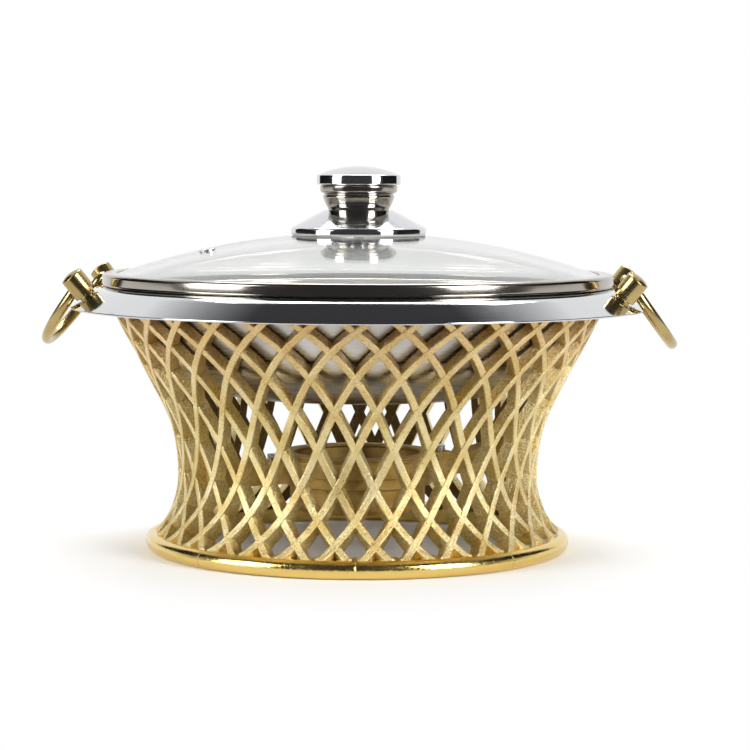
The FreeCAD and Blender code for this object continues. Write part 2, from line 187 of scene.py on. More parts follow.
bump = add(tree, "ShaderNodeBump", {"Height": grain.outputs[0], "Strength": 1.0, "Distance": 0.8 * MM})
tree.links.new(bump.outputs[0], shader.inputs["Normal"])
print(cast_gold.name)

# %% [markdown]
# ## Polished gold plate
#
# The base ring was buffed after casting, so it mirrors the room in soft, slightly wavy shapes, with a little
# grit left where the buff did not reach. Low roughness does the mirror, two scales of noise bend it, and a
# fine groove marks each of the eight seams between the castings.

# %% Polished gold
seams = 8
seam_angle = math.radians(272.9)
polished_gold, tree, shader = start_finish("buffed_gold_plate", Metallic=1.0)
shader.inputs["Base Color"].default_value = linear("#E6C97A")
spot = add(tree, "ShaderNodeTexCoord").outputs["Object"]
wave = add(tree, "ShaderNodeTexNoise", {"Vector": spot, "Scale": per_mm(16), "Detail": 1.0})
grit = add(tree, "ShaderNodeTexNoise", {"Vector": spot, "Scale": per_mm(1.1), "Detail": 2.0})
rough = add(
    tree,
    "ShaderNodeMapRange",
    {"Value": grit.outputs["Fac"], "From Min": 0.35, "From Max": 0.7, "To Min": 0.12, "To Max": 0.26},
)
tree.links.new(rough.outputs[0], shader.inputs["Roughness"])
coarse = add(tree, "ShaderNodeBump", {"Height": wave.outputs["Fac"], "Strength": 0.25, "Distance": 0.8 * MM})
fine = add(
    tree,
    "ShaderNodeBump",
    {"Height": grit.outputs["Fac"], "Strength": 0.5, "Distance": 0.15 * MM, "Normal": coarse.outputs[0]},
)
x, y, z = add(tree, "ShaderNodeSeparateXYZ", {0: spot}).outputs
angle = add(tree, "ShaderNodeMath", {0: y, 1: x}, operation="ARCTAN2")
turns = add(
    tree,
    "ShaderNodeMath",
    {0: angle.outputs[0], 1: seams / (2 * math.pi), 2: seams - seam_angle * seams / (2 * math.pi)},
    operation="MULTIPLY_ADD",
)
away = add(tree, "ShaderNodeMath", {0: turns.outputs[0], 1: 0.5}, operation="PINGPONG")
seam = add(tree, "ShaderNodeMapRange", {"Value": away.outputs[0], "From Min": 0.001, "From Max": 0.006})
cut = add(
    tree,
    "ShaderNodeBump",
    {"Height": seam.outputs[0], "Strength": 0.8, "Distance": 0.4 * MM, "Normal": fine.outputs[0]},
)
tree.links.new(cut.outputs[0], shader.inputs["Normal"])
print(polished_gold.name)

# %% [markdown]
# ## Heat-dulled gold of the burner
#
# The burner's ring, arms and cup live over a flame. Their plating is darker, browner and blotched, with the
# same casting grit. A blotchy mix of two browns and a higher roughness give that.

# %% Dulled gold
dull_gold, tree, shader = start_finish("heat_dulled_gold_plate", Metallic=1.0)
spot = add(tree, "ShaderNodeTexCoord").outputs["Object"]
blotch = add(tree, "ShaderNodeTexNoise", {"Vector": spot, "Scale": per_mm(9), "Detail": 4.0})
tone = add(tree, "ShaderNodeValToRGB", {"Fac": blotch.outputs["Fac"]})
tone.color_ramp.elements[0].position = 0.3
tone.color_ramp.elements[0].color = linear("#A88642")
tone.color_ramp.elements[1].position = 0.7
tone.color_ramp.elements[1].color = linear("#D6B670")
tree.links.new(tone.outputs["Color"], shader.inputs["Base Color"])
grit = add(tree, "ShaderNodeTexNoise", {"Vector": spot, "Scale": per_mm(0.9), "Detail": 3.0})
rough = add(
    tree,
    "ShaderNodeMapRange",
    {"Value": blotch.outputs["Fac"], "From Min": 0.3, "From Max": 0.7, "To Min": 0.45, "To Max": 0.6},
)
tree.links.new(rough.outputs[0], shader.inputs["Roughness"])
bump = add(tree, "ShaderNodeBump", {"Height": grit.outputs["Fac"], "Strength": 0.3, "Distance": 0.15 * MM})
tree.links.new(bump.outputs[0], shader.inputs["Normal"])
print(dull_gold.name)

# %% [markdown]
# ## Turned and buffed stainless steel
#
# The flange and the knob's bell and cap are spun sheet, buffed on the lathe. They mirror the room almost
# cleanly; what gives them away as steel are faint rings left by the buff. The rings are noise read along
# radius and height only, so they run round the axis. Real ones are finer than a pixel, so they are drawn
# 1 mm wide.

# %% Mirror steel
mirror_steel, tree, shader = start_finish("buffed_stainless_steel", Metallic=1.0)
shader.inputs["Base Color"].default_value = linear("#D6D8D9")
spot = add(tree, "ShaderNodeTexCoord").outputs["Object"]
flat_spot = add(tree, "ShaderNodeVectorMath", {0: spot, 1: (1.0, 1.0, 0.0)}, operation="MULTIPLY")
radius = add(tree, "ShaderNodeVectorMath", {0: flat_spot.outputs[0]}, operation="LENGTH")
height = add(tree, "ShaderNodeSeparateXYZ", {0: spot})
lathe_spot = add(tree, "ShaderNodeCombineXYZ", {0: radius.outputs["Value"], 2: height.outputs[2]})
rings = add(
    tree, "ShaderNodeTexNoise", {"Vector": lathe_spot.outputs[0], "Scale": per_mm(1.0), "Detail": 3.0}
)
rough = add(
    tree,
    "ShaderNodeMapRange",
    {"Value": rings.outputs["Fac"], "From Min": 0.3, "From Max": 0.7, "To Min": 0.05, "To Max": 0.11},
)
tree.links.new(rough.outputs[0], shader.inputs["Roughness"])
bump = add(tree, "ShaderNodeBump", {"Height": rings.outputs["Fac"], "Strength": 0.06, "Distance": 0.05 * MM})
tree.links.new(bump.outputs[0], shader.inputs["Normal"])
print(mirror_steel.name)

# %% [markdown]
# ## Brushed stainless steel
#
# The lid's band and the knob's ringed body were finished with a softer wheel. Lamps show on them as upright
# strips with softer edges, and the steel looks darker and a little warm.

# %% Brushed steel
brushed_steel = mirror_steel.copy()
brushed_steel.name = "brushed_stainless_steel"
shader = brushed_steel.node_tree.nodes["Principled BSDF"]
shader.inputs["Base Color"].default_value = linear("#A8A299")
spread = shader.inputs["Roughness"].links[0].from_node
spread.inputs["To Min"].default_value = 0.1
spread.inputs["To Max"].default_value = 0.18
print(brushed_steel.name)

# %% [markdown]
# ## Satin stainless steel of the bowl
#
# The bowl was only brushed while it spun, so it is grey and soft, with rings that can be seen and a blurred
# image of the gold bars in front of it.

# %% Satin steel
satin_steel, tree, shader = start_finish("spun_satin_stainless_steel", Metallic=1.0)
spot = add(tree, "ShaderNodeTexCoord").outputs["Object"]
flat_spot = add(tree, "ShaderNodeVectorMath", {0: spot, 1: (1.0, 1.0, 0.0)}, operation="MULTIPLY")
radius = add(tree, "ShaderNodeVectorMath", {0: flat_spot.outputs[0]}, operation="LENGTH")
height = add(tree, "ShaderNodeSeparateXYZ", {0: spot})
lathe_spot = add(tree, "ShaderNodeCombineXYZ", {0: radius.outputs["Value"], 2: height.outputs[2]})
rings = add(
    tree, "ShaderNodeTexNoise", {"Vector": lathe_spot.outputs[0], "Scale": per_mm(0.8), "Detail": 4.0}
)
smear = add(tree, "ShaderNodeTexNoise", {"Vector": spot, "Scale": per_mm(30), "Detail": 2.0})
tone = add(tree, "ShaderNodeValToRGB", {"Fac": smear.outputs["Fac"]})
tone.color_ramp.elements[0].position = 0.3
tone.color_ramp.elements[0].color = linear("#B4AFA8")
tone.color_ramp.elements[1].position = 0.7
tone.color_ramp.elements[1].color = linear("#CDC9C3")
tree.links.new(tone.outputs["Color"], shader.inputs["Base Color"])
rough = add(
    tree,
    "ShaderNodeMapRange",
    {"Value": rings.outputs["Fac"], "From Min": 0.3, "From Max": 0.7, "To Min": 0.22, "To Max": 0.36},
)
tree.links.new(rough.outputs[0], shader.inputs["Roughness"])
bump = add(tree, "ShaderNodeBump", {"Height": rings.outputs["Fac"], "Strength": 0.15, "Distance": 0.1 * MM})
tree.links.new(bump.outputs[0], shader.inputs["Normal"])
print(satin_steel.name)

# %% [markdown]
# ## Brass of the handles
#
# Posts and bails are turned from bar and only lightly polished: an olive, older gold than the stand, with
# broad highlights and slow clouds of tarnish.

# %% Satin brass
satin_brass, tree, shader = start_finish("lightly_polished_brass", Metallic=1.0)
spot = add(tree, "ShaderNodeTexCoord").outputs["Object"]
cloud = add(tree, "ShaderNodeTexNoise", {"Vector": spot, "Scale": per_mm(14), "Detail": 0.0})
tone = add(tree, "ShaderNodeValToRGB", {"Fac": cloud.outputs["Fac"]})
tone.color_ramp.elements[0].position = 0.3
tone.color_ramp.elements[0].color = linear("#AC9560")
tone.color_ramp.elements[1].position = 0.7
tone.color_ramp.elements[1].color = linear("#C0A972")
tree.links.new(tone.outputs["Color"], shader.inputs["Base Color"])
wear = add(tree, "ShaderNodeTexNoise", {"Vector": spot, "Scale": per_mm(10), "Detail": 0.0})
rough = add(
    tree,
    "ShaderNodeMapRange",
    {"Value": wear.outputs["Fac"], "From Min": 0.3, "From Max": 0.7, "To Min": 0.2, "To Max": 0.25},
)
tree.links.new(rough.outputs[0], shader.inputs["Roughness"])
print(satin_brass.name)

# %% [markdown]
# ## Tempered glass, steel screws and soft seals
#
# The lid is 4 mm soda-lime glass with a faint green body colour. Screws and the vent's grommet are plain
# stainless with a matt, tumbled surface, and the gasket and washers are translucent grey silicone.

# %% Glass, screws and seals
lid_glass, tree, shader = start_finish("tempered_soda_lime_glass", Roughness=0.0, IOR=1.52)
shader.inputs["Base Color"].default_value = linear("#FBFDFC")
shader.inputs["Transmission Weight"].default_value = 1.0
spot = add(tree, "ShaderNodeTexCoord").outputs["Object"]
roll = add(tree, "ShaderNodeTexNoise", {"Vector": spot, "Scale": per_mm(60), "Detail": 1.0})
bump = add(tree, "ShaderNodeBump", {"Height": roll.outputs["Fac"], "Strength": 0.05, "Distance": 0.5 * MM})
tree.links.new(bump.outputs[0], shader.inputs["Normal"])

screw_steel, tree, shader = start_finish("tumbled_stainless_steel", Metallic=1.0)
shader.inputs["Base Color"].default_value = linear("#C4C5C6")
spot = add(tree, "ShaderNodeTexCoord").outputs["Object"]
grit = add(tree, "ShaderNodeTexNoise", {"Vector": spot, "Scale": per_mm(0.7), "Detail": 2.0})
rough = add(
    tree,
    "ShaderNodeMapRange",
    {"Value": grit.outputs["Fac"], "From Min": 0.3, "From Max": 0.7, "To Min": 0.2, "To Max": 0.35},
)
tree.links.new(rough.outputs[0], shader.inputs["Roughness"])

silicone, tree, shader = start_finish("grey_silicone", IOR=1.42)
spot = add(tree, "ShaderNodeTexCoord").outputs["Object"]
cloud = add(tree, "ShaderNodeTexNoise", {"Vector": spot, "Scale": per_mm(5), "Detail": 2.0})
tone = add(tree, "ShaderNodeValToRGB", {"Fac": cloud.outputs["Fac"]})
tone.color_ramp.elements[0].color = linear("#8E8E8C")
tone.color_ramp.elements[1].color = linear("#B4B4B0")
tree.links.new(tone.outputs["Color"], shader.inputs["Base Color"])
shader.inputs["Roughness"].default_value = 0.55
print(lid_glass.name, screw_steel.name, silicone.name)

# %% [markdown]
# ## Turned pieces
#
# Most of the dish was made on a lathe, so most of it can be made as an outline spun about the axis. An
# outline is a list of (radius, height) corners in millimetres, each with its own rounding, and bent sheet is
# such a line with its own copy one thickness to the left. This gives the same shapes as the CAD solids, with
# as many steps as a mirror finish needs.

# %% Lathe tools


def sheet(corners, thick):
    """The corners of bent sheet: the given line, then back along its left side."""
    back = []
    for i, corner in enumerate(corners):
        normals = []
        for a, b in ((i - 1, i), (i, i + 1)):
            if 0 <= a and b < len(corners):
                along = Vector(corners[b][:2]) - Vector(corners[a][:2])
                normals.append(Vector((-along.y, along.x)).normalized())
        first, last = normals[0], normals[-1]
        moved = Vector(corner[:2]) + (first + last) * (thick / (1 + first.dot(last)))
        if len(corner) > 2:
            turn = first.x * last.y - first.y * last.x
            side = 0 if len(normals) == 1 else math.copysign(thick, turn)
            back.append((moved.x, moved.y, corner[2] - side))
        else:
            back.append((moved.x, moved.y))
    return list(corners) + back[::-1]


def rounded(corners, closed=True, step=6):
    """A line through the corners, with each rounding drawn as an arc in steps of so many degrees."""
    spots = [Vector(c[:2]) for c in corners]
    line = []
    for i, here in enumerate(spots):
        radius = corners[i][2] if len(corners[i]) > 2 else 0
        if not radius or (not closed and i in (0, len(spots) - 1)):
            line.append(here)
            continue
        back = (spots[i - 1] - here).normalized()
        ahead = (spots[(i + 1) % len(spots)] - here).normalized()
        half = back.angle(ahead) / 2
        centre = here + (back + ahead).normalized() * (radius / math.sin(half))
        first = here + back * (radius / math.tan(half)) - centre
        turn = math.copysign(math.pi - 2 * half, back.y * ahead.x - back.x * ahead.y)
        count = max(2, math.ceil(abs(math.degrees(turn)) / step))
        for k in range(count + 1):
            line.append(centre + Matrix.Rotation(turn * k / count, 2) @ first)
    return line


def to_object(name, mesh, material, sharp=35):
    """Puts a mesh in the scene as a smooth piece with edges sharper than that angle kept."""
    mesh.polygons.foreach_set("use_smooth", [True] * len(mesh.polygons))
    mesh.set_sharp_from_angle(angle=math.radians(sharp))
    if material:
        mesh.materials.append(material)
    piece = bpy.data.objects.new(name, mesh)
    bpy.context.scene.collection.objects.link(piece)
    return piece


def turned_mesh(name, corners, steps=192):
    """A mesh turned about Z from a closed outline in millimetres."""
    shape = bmesh.new()
    verts = [shape.verts.new((p.x * MM, 0, p.y * MM)) for p in rounded(corners)]
    pairs = [(verts[i - 1], verts[i]) for i in range(len(verts))]
    edges = [shape.edges.new(pair) for pair in pairs if max(abs(v.co.x) for v in pair) > 1e-7]
    bmesh.ops.spin(
        shape,
        geom=verts + edges,
        axis=(0, 0, 1),
        cent=(0, 0, 0),
        angle=2 * math.pi,
        steps=steps,
        use_merge=True,
    )
    bmesh.ops.remove_doubles(shape, verts=shape.verts, dist=1e-7)
    bmesh.ops.recalc_face_normals(shape, faces=shape.faces)
    mesh = bpy.data.meshes.new(name)
    shape.to_mesh(mesh)
    shape.free()
    return mesh


def turned(name, corners, material, body, node, steps=192):
    """A turned piece that stands for a CAD node."""
    piece = to_object(name, turned_mesh(name, corners, steps), material)
    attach(piece, body)
    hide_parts(node)
    print(f"{name}: {len(piece.data.polygons)} faces")
    return piece


# %% [markdown]
# ## The pot
#
# One sheet of steel: a shallow bowl, a neck, a flat seat for the lid and a wide drooping flange. Only the
# seat and flange were buffed, so the faces outside the neck get the mirror finish and the bowl stays satin.
# The bowl's side leans as the upper wall of the stand does.

# %% Pot
pot_sheet = 1.2
bowl_r = 121.4
floor_z = 81.0
rim_z = 127.2  # top of the lattice, level with the bend between the bowl's side and its neck
bowl_round = 58.0
neck_round = 10.0
mouth_round = 1.0
seat_width = 14.5
shoulder_round = 12.8
slope = math.radians(39.0)
edge_round = 0.5
edge_trim = 0.25  # the softened edge ends this far inside the sharp one
waist_z = 39.0
waist_draw = 34.9
flare_start = 22.0
stand_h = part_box("top_ring")[1][2] / MM
flare_lean = math.atan(waist_draw / (rim_z - waist_z - flare_start))
shoulder_r = bowl_r + seat_width
flange_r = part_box("pot_bowl")[1][1] / MM + edge_trim
edge_r = flange_r - pot_sheet * math.sin(slope)
edge_z = stand_h - (edge_r - shoulder_r) * math.tan(slope)
pot_line = [
    (0, floor_z),
    (bowl_r - (rim_z - floor_z) * math.tan(flare_lean), floor_z, bowl_round),
    (bowl_r, rim_z, neck_round),
    (bowl_r, stand_h, mouth_round),
    (shoulder_r, stand_h, shoulder_round),
    (edge_r, edge_z, edge_round),
]
pot = turned("pot", sheet(pot_line, pot_sheet), satin_steel, "pot", "pot_bowl", steps=256)
pot.data.materials.append(mirror_steel)
for face in pot.data.polygons:
    if math.hypot(*face.center[:2]) > bowl_r * MM:
        face.material_index = 1

# %% [markdown]
# ## The lid
#
# A glass dome sits in a rolled steel channel. The channel's lower lip has a short skirt that drops into the
# pot's mouth. The dome is part of a ball of 375 mm radius, drawn in short straight steps.

# %% Lid glass and band
seat_z = stand_h + pot_sheet
band_t = 0.8
band_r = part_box("lid_band")[1][0] / MM
glass_in = 4.6  # from the band's outside to the glass
glass_r = band_r - glass_in
glass_t = 4.0
dome_r = 375.0
dome_steps = 40


def dome_drop(radius, reach):
    """How far a ball of that radius falls away, reach out from its top."""
    return radius - math.sqrt(radius**2 - reach**2)


glass_low = seat_z + band_t + dome_drop(dome_r - glass_t, glass_r)
glass_top = glass_low + glass_t
hole_r = 3.1
glass_line = []
for radius, top in ((dome_r, glass_top), (dome_r - glass_t, glass_low)):
    reaches = [hole_r + (glass_r - hole_r) * k / dome_steps for k in range(dome_steps + 1)]
    if radius < dome_r:
        reaches.reverse()
    glass_line += [(reach, top - dome_drop(radius, reach)) for reach in reaches]
glass = turned("glass_dome", glass_line, lid_glass, "lid", "lid_glass", steps=192)
glass.visible_shadow = False  # daylight passes through clear glass

lip_width = 7.4
band_round = 2.0
skirt_drop = 4.0
skirt_gap = 0.4
skirt_round = 0.8
seat_air = 0.05  # a hair of air over the seat
lip_r = band_r - lip_width
band_top = glass_top - dome_drop(dome_r, lip_r) + band_t
skirt_r = bowl_r - pot_sheet - skirt_gap
band_low = seat_z + seat_air
band_line = [
    (skirt_r, band_low - skirt_drop),
    (skirt_r, band_low, skirt_round),
    (band_r, band_low, band_round),
    (band_r, band_top, band_round),
    (lip_r, band_top),
]
band_outline = sheet(band_line, band_t)
turned("rolled_band", band_outline, brushed_steel, "lid", "lid_band", steps=256)

# %% [markdown]
# ## The knob
#
# A bell-shaped base sits on a soft gasket. On it stands a body of rounded rings that widen upwards, and a cap
# with a straight band and a low dome closes it.

# %% Knob
bell_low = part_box("knob_base")[0][2] / MM
bell_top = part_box("knob_base")[1][2] / MM
bell_r = 35.3
bell_sheet = 1.0
stud_r = 3.1
bell_line = [
    (bell_r, bell_low),
    (bell_r, bell_low + 2.6, 1.6),
    (22.4, bell_low + 9.6, 9.6),
    (17.6, bell_top, 1.6),
    (stud_r, bell_top),
]
turned("knob_bell", sheet(bell_line, bell_sheet), mirror_steel, "lid", "knob_base")

cap_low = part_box("knob_cap")[0][2] / MM
cap_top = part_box("knob_cap")[1][2] / MM
ring_outline = (  # radius, height over the bell, rounding
    (15.6, 0.0, 0.0),
    (17.4, 3.4, 5.0),
    (18.8, 7.2, 1.6),
    (17.8, 8.2, 0.3),
    (20.0, 9.4, 1.2),
    (20.2, 12.4, 0.8),
)
body_line = [(0, bell_top)]
body_line += [(radius, bell_top + up, bend) for radius, up, bend in ring_outline]
body_line += [(19.4, cap_low), (0, cap_low)]
turned("knob_rings", body_line, brushed_steel, "lid", "knob_body")

cap_r = 21.9
cap_dome = 4.8
cap_round = 0.6
dome_corner_r = (cap_r**2 + cap_dome**2) / (2 * cap_r)
dome_bend = 0.95 * (cap_r**2 + cap_dome**2) / (2 * cap_dome)  # just under the ball's radius, so that it fits
cap_line = [
    (0, cap_low),
    (cap_r, cap_low, cap_round),
    (cap_r, cap_top - cap_dome, cap_round),
    (dome_corner_r, cap_top, dome_bend),
    (0, cap_top),
]
turned("knob_dome", cap_line, mirror_steel, "lid", "knob_cap")

# %% [markdown]
# ## The base ring
#
# A heavy bead, half round outside, that the lattice grows out of. It is turned like the rest.

# %% Base ring
base_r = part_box("base_ring")[1][0] / MM
base_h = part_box("base_ring")[1][2] / MM
base_in = 96.96
bead_round = base_h * 0.49  # just under half the height, so that both roundings fit
base_line = [
    (base_in, 0, 0.5),
    (base_r, 0, bead_round),
    (base_r, base_h, bead_round),
    (base_in, base_h, 0.5),
]
turned("base_bead", base_line, polished_gold, "stand", "base_ring", steps=256)

# %% [markdown]
# ## The lattice
#
# Bars lean both ways round an hourglass wall and cross at ten levels, whose steps are tallest a little below
# mid height. The bars that lean right stand proud of the others. One bar of each kind is drawn along its
# rule, with its section square to the wall: a narrow ridge in front and sides that slope back, more so
# towards the foot, so that the mould could let go. Geometry Nodes repeat the pair round the axis.

# %% One bar of each kind
bars_each_way = 32
pitch = 2 * math.pi / bars_each_way
bar_front = 3.5
bar_back = 4.7
foot_back = 6.8
bar_depth = 5.5
foot_depth = 7.5
bar_proud = 0.5
ridge_round = 0.6
back_round = 0.3
foot_reach = 72.0  # below this height the bars grow deeper and wider towards the back
foot_flare = 12.0
rim_r = 128.56
waist_r = rim_r - waist_draw
flare_bend = flare_start / math.tan(flare_lean / 2)
foot_h = waist_z - base_h
foot_bend = (foot_flare**2 + foot_h**2) / (2 * foot_flare)
row_steps = 9
mid_stretch = 1.03  # how much the steps grow towards mid height
low_shift = 0.25  # the tallest step lies this many steps below mid height
low_sink = 3.2  # the lowest crossings lie this far inside the base ring
top_sink = 2.7
row_low = base_h - low_sink
row_high = rim_z + top_sink
step_share = []
for i in range(row_steps):
    swell = math.sin(math.pi * (i + 0.5 + low_shift) / row_steps) ** 3
    step_share.append(1 + mid_stretch * swell)
row_z = []
for i in range(row_steps + 1):
    row_z.append(row_low + (row_high - row_low) * sum(step_share[:i]) / sum(step_share))


def wall_r(z):
    """Outside radius of the lattice wall at a height."""
    z = min(max(z, base_h), rim_z)
    if z < waist_z:
        return waist_r + dome_drop(foot_bend, waist_z - z)
    if z < waist_z + flare_bend * math.sin(flare_lean):
        return waist_r + dome_drop(flare_bend, z - waist_z)
    return rim_r - (rim_z - z) * math.tan(flare_lean)


def crossing_z(t):
    """Height at level t, smooth between the crossings."""
    i = min(int(t), row_steps - 1)
    z0, z1 = row_z[i], row_z[i + 1]
    before = row_z[i - 1] if i > 0 else 2 * z0 - z1
    after = row_z[i + 2] if i + 2 <= row_steps else 2 * z1 - z0
    f = t - i
    rise0, rise1 = (z1 - before) / 2, (after - z0) / 2
    low_part = (2 * f**3 - 3 * f**2 + 1) * z0 + (f**3 - 2 * f**2 + f) * rise0
    return low_part + (3 * f**2 - 2 * f**3) * z1 + (f**3 - f**2) * rise1


def near_foot(z):
    """0 where the bars are plain, and 1 at the base ring."""
    return min(max((foot_reach - z) / (foot_reach - base_h), 0), 1)


def bar_point(t, lean):
    """A point on the middle of a bar's front face, in millimetres."""
    z = crossing_z(t)
    radius = wall_r(z) + lean * bar_proud / 2
    angle = lean * t * pitch / 2
    return Vector((radius * math.cos(angle), radius * math.sin(angle), z))


samples = 6 * row_steps
pair = bmesh.new()
for lean in (1, -1):
    loops = []
    for k in range(samples + 1):
        t = row_steps * k / samples
        here = bar_point(t, lean)
        ahead = bar_point(min(t + 0.01, row_steps), lean)
        along = (ahead - bar_point(max(t - 0.01, 0), lean)).normalized()
        fall = wall_r(here.z + 0.5) - wall_r(here.z - 0.5)
        out = Vector((here.x, here.y, 0)).normalized()
        front = out - Vector((0, 0, fall))
        front = (front - along * along.dot(front)).normalized()
        across = along.cross(front)
        depth = bar_depth + (foot_depth - bar_depth) * near_foot(here.z)
        back = (bar_back + (foot_back - bar_back) * near_foot(here.z)) / 2
        ridge = bar_front / 2
        corners = [
            (-ridge, 0, ridge_round),
            (ridge, 0, ridge_round),
            (back, -depth, back_round),
            (-back, -depth, back_round),
        ]
        section = [here + across * p.x + front * p.y for p in rounded(corners, step=30)]
        loops.append([pair.verts.new(p * MM) for p in section])
    for low, high in zip(loops, loops[1:]):
        for i in range(len(low)):
            pair.faces.new((low[i - 1], low[i], high[i], high[i - 1]))
    pair.faces.new(loops[0])
    pair.faces.new(loops[-1][::-1])
bmesh.ops.recalc_face_normals(pair, faces=pair.faces)
pair_mesh = bpy.data.meshes.new("bar_pair")
pair.to_mesh(pair_mesh)
pair.free()
print("crossing levels, mm:", [round(z, 1) for z in row_z])

# %% Repeat the pair round the axis
ring_tree = bpy.data.node_groups.new("repeat_round_axis", "GeometryNodeTree")
for name, kind in (
    ("Geometry", "NodeSocketGeometry"),
    ("Count", "NodeSocketInt"),
    ("First Angle", "NodeSocketFloat"),
    ("Material", "NodeSocketMaterial"),
):
    ring_tree.interface.new_socket(name, in_out="INPUT", socket_type=kind)
ring_tree.interface.new_socket("Geometry", in_out="OUTPUT", socket_type="NodeSocketGeometry")
given = add(ring_tree, "NodeGroupInput").outputs
points = add(ring_tree, "GeometryNodePoints", {"Count": given["Count"]})
index = add(ring_tree, "GeometryNodeInputIndex")
share = add(ring_tree, "ShaderNodeMath", {0: index.outputs[0], 1: given["Count"]}, operation="DIVIDE")
turn = add(
    ring_tree,
    "ShaderNodeMath",
    {0: share.outputs[0], 1: 2 * math.pi, 2: given["First Angle"]},
    operation="MULTIPLY_ADD",
)
spin = add(ring_tree, "FunctionNodeAxisAngleToRotation", {"Axis": (0, 0, 1), "Angle": turn.outputs[0]})
copies = add(
    ring_tree,
    "GeometryNodeInstanceOnPoints",
    {"Points": points.outputs[0], "Instance": given["Geometry"], "Rotation": spin.outputs[0]},
)
real = add(ring_tree, "GeometryNodeRealizeInstances", {"Geometry": copies.outputs[0]})
dressed = add(
    ring_tree, "GeometryNodeSetMaterial", {"Geometry": real.outputs[0], "Material": given["Material"]}
)
add(ring_tree, "NodeGroupOutput", {"Geometry": dressed.outputs[0]})


def grown(name, start_mesh, tree, values):
    """The plain mesh that a Geometry Nodes tree makes of a start mesh."""
    maker = bpy.data.objects.new(name, start_mesh)
    bpy.context.scene.collection.objects.link(maker)
    modifier = maker.modifiers.new(name, "NODES")
    modifier.node_group = tree
    sockets = {item.name: item.identifier for item in tree.interface.items_tree if item.in_out == "INPUT"}
    for key, value in values.items():
        modifier[sockets[key]] = value
    depsgraph = bpy.context.evaluated_depsgraph_get()
    mesh = bpy.data.meshes.new_from_object(maker.evaluated_get(depsgraph))
    mesh.name = name
    if mesh.materials[0] is None:
        mesh.materials.pop(index=0)
    bpy.data.objects.remove(maker)
    return mesh


round_axis = {"Count": bars_each_way, "First Angle": seam_angle, "Material": cast_gold}
lattice_mesh = grown("lattice", pair_mesh, ring_tree, round_axis)
lattice = to_object("lattice", lattice_mesh, None, sharp=12)
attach(lattice, "stand")
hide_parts(*[f"lattice_panel_{i}" for i in range(1, 9)])
print(f"lattice: {len(lattice.data.polygons)} faces, finish {lattice.data.materials[0].name}")

# %% [markdown]
# ## Handle posts and bails
#
# Four posts stand square on the drooping flange, two on each side, each with an undercut at its foot that
# parts it from its mirror image. A bail is one bent rod whose ends turn outwards into the posts. The posts
# repeat, so Geometry Nodes set one post on four points; the rod is a curve with a round bevel.

# %% Posts
post_r = 6.0
post_h = 13.0
post_dome = 1.5
post_in = 8.1  # from the flange's edge to the post's foot
post_angle = 17  # degrees round from the handles' own axis
undercut_r = 4.2
undercut_h = 1.3
post_at = flange_r - post_in
post_foot_z = stand_h - (post_at - shoulder_r) * math.tan(slope) + pot_sheet / math.cos(slope)
post_line = [
    (0, 0),
    (undercut_r, 0),
    (undercut_r, undercut_h),
    (post_r, undercut_h, 0.35),
    (post_r, post_h, 0.5),
    (3.19, post_h + post_dome, 11.5),
    (0, post_h + post_dome),
]
post_mesh = turned_mesh("post", post_line, steps=64)
post_mesh.polygons.foreach_set("use_smooth", [True] * len(post_mesh.polygons))
post_mesh.set_sharp_from_angle(angle=math.radians(35))
one_post = bpy.data.objects.new("one_post", post_mesh)

seat_tree = bpy.data.node_groups.new("set_on_points", "GeometryNodeTree")
for name, kind in (
    ("Geometry", "NodeSocketGeometry"),
    ("Piece", "NodeSocketObject"),
    ("Material", "NodeSocketMaterial"),
):
    seat_tree.interface.new_socket(name, in_out="INPUT", socket_type=kind)
seat_tree.interface.new_socket("Geometry", in_out="OUTPUT", socket_type="NodeSocketGeometry")
given = add(seat_tree, "NodeGroupInput").outputs
piece = add(seat_tree, "GeometryNodeObjectInfo", {"Object": given["Piece"]})
lift = add(seat_tree, "GeometryNodeInputNamedAttribute", {"Name": "square_to"}, data_type="FLOAT_VECTOR")
upright = add(seat_tree, "FunctionNodeAlignRotationToVector", {"Vector": lift.outputs["Attribute"]}, axis="Z")
copies = add(
    seat_tree,
    "GeometryNodeInstanceOnPoints",
    {"Points": given["Geometry"], "Instance": piece.outputs["Geometry"], "Rotation": upright.outputs[0]},
)
real = add(seat_tree, "GeometryNodeRealizeInstances", {"Geometry": copies.outputs[0]})
dressed = add(
    seat_tree, "GeometryNodeSetMaterial", {"Geometry": real.outputs[0], "Material": given["Material"]}
)
add(seat_tree, "NodeGroupOutput", {"Geometry": dressed.outputs[0]})

feet, squares = [], []
for angle in (-post_angle, post_angle, 180 - post_angle, 180 + post_angle):
    out = Vector((math.cos(math.radians(angle)), math.sin(math.radians(angle)), 0))
    feet.append((out * post_at + Vector((0, 0, post_foot_z))) * MM)
    squares.append(out * math.sin(slope) + Vector((0, 0, math.cos(slope))))
foot_mesh = bpy.data.meshes.new("post_feet")
foot_mesh.from_pydata(feet, [], [])
square_to = foot_mesh.attributes.new("square_to", "FLOAT_VECTOR", "POINT")
square_to.data.foreach_set("vector", [value for square in squares for value in square])
posts_mesh = grown("handle_posts", foot_mesh, seat_tree, {"Piece": one_post, "Material": satin_brass})
bpy.data.objects.remove(one_post)
posts = to_object("handle_posts", posts_mesh, None)
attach(posts, "pot")
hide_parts("post_right_front", "post_right_rear", "post_left_rear", "post_left_front")
print(f"handle_posts: {len(posts.data.polygons)} faces")

